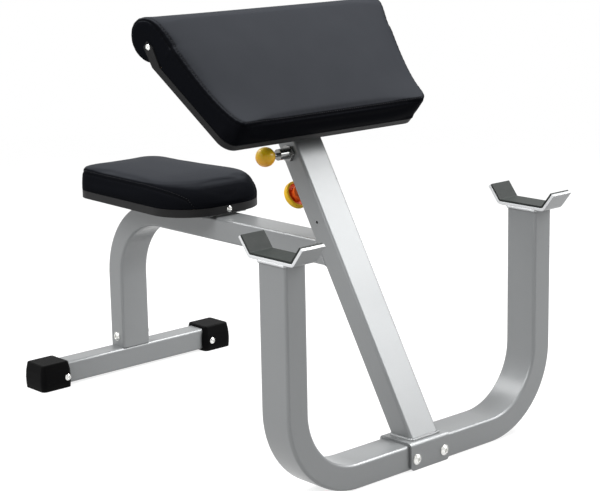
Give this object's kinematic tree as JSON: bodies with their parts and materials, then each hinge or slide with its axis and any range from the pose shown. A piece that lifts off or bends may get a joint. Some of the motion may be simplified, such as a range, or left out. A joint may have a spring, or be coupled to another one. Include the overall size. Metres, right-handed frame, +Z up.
{
  "type": "preacher curl bench",
  "caption": "Preacher curl bench: padded seat, sloped arm pad on a telescoping post with pull pin and tension knob, U-shaped base with bar cradles.",
  "frame": {"origin": "on the floor under the middle of the bench's outer box", "axes": "+X from the seat to the bar cradles, +Y to the sitter's left, +Z up"},
  "size_m": [1.0521, 0.724, 0.865],
  "materials": {
    "frame_paint": "satin",
    "zinc": "satin",
    "vinyl": "satin",
    "shroud_plastic": "satin",
    "cap_rubber": "matte",
    "liner_rubber": "matte",
    "plywood": "matte",
    "yellow_plastic": "gloss",
    "guide_plastic": "matte"
  },
  "bodies": {
    "frame": {"base_tube": "frame_paint", "cradle_left": "frame_paint", "cradle_right": "frame_paint", "saddle": "frame_paint", "post_tube": "frame_paint", "seat_beam": "frame_paint", "stabiliser_tube": "frame_paint", "leg_socket": "frame_paint", "seat_plate": "frame_paint", "tension_nut": "frame_paint", "saddle_bolts": "zinc", "saddle_washers": "zinc", "saddle_nuts": "zinc", "leg_bolt": "zinc", "leg_washers": "zinc", "leg_nut": "zinc", "end_cap_bolts": "zinc", "seat_bolts": "zinc", "seat_shroud_screws": "zinc", "pin_nut": "zinc", "pin_barrel": "zinc", "pin_spring": "zinc", "seat_cushion": "vinyl", "seat_shroud": "shroud_plastic", "end_cap_left": "cap_rubber", "end_cap_right": "cap_rubber", "cradle_liner_left": "liner_rubber", "cradle_liner_right": "liner_rubber", "seat_board": "plywood", "post_bushing": "guide_plastic"},
    "arm_rest": {"inner_tube": "frame_paint", "inner_tube_plug": "guide_plastic", "pad_plate": "frame_paint", "pad_gusset_left": "frame_paint", "pad_gusset_right": "frame_paint", "pad_board": "plywood", "pad_shroud": "shroud_plastic", "pad_cushion": "vinyl", "pad_bolts": "zinc", "pad_shroud_screws": "zinc"},
    "pin": {"pull_pin": "zinc", "pin_ball": "yellow_plastic"},
    "clamp_tip": {"tension_pad": "guide_plastic"},
    "clamp_knob": {"tension_stud": "zinc", "tension_knob": "yellow_plastic"}
  },
  "joints": [
    {"name": "arm_pad_height", "type": "slide", "parent": "frame", "child": "arm_rest", "axis": [-0.5075, 0, 0.8616], "range_m": [0, 0.1]},
    {"name": "pull_pin_slide", "type": "slide", "parent": "frame", "child": "pin", "axis": [0, -1, 0], "range_m": [-0.006, 0.002], "stiffness_N_per_m": 800, "springref_m": -0.006, "deforming": ["pin_spring"]},
    {"name": "tension_knob_advance", "type": "slide", "parent": "frame", "child": "clamp_tip", "axis": [-0.8616, 0, -0.5075], "range_m": [0, 0.0035]},
    {"name": "tension_knob_turn", "type": "hinge", "parent": "clamp_tip", "child": "clamp_knob", "pos_m": [0.1449, 0, 0.50673], "axis": [-0.8616, 0, -0.5075], "range_deg": [0, 720]}
  ],
  "couplings": [
    {"joint": "tension_knob_advance", "follows": "tension_knob_turn", "m_per_rad": 0.00027852}
  ]
}
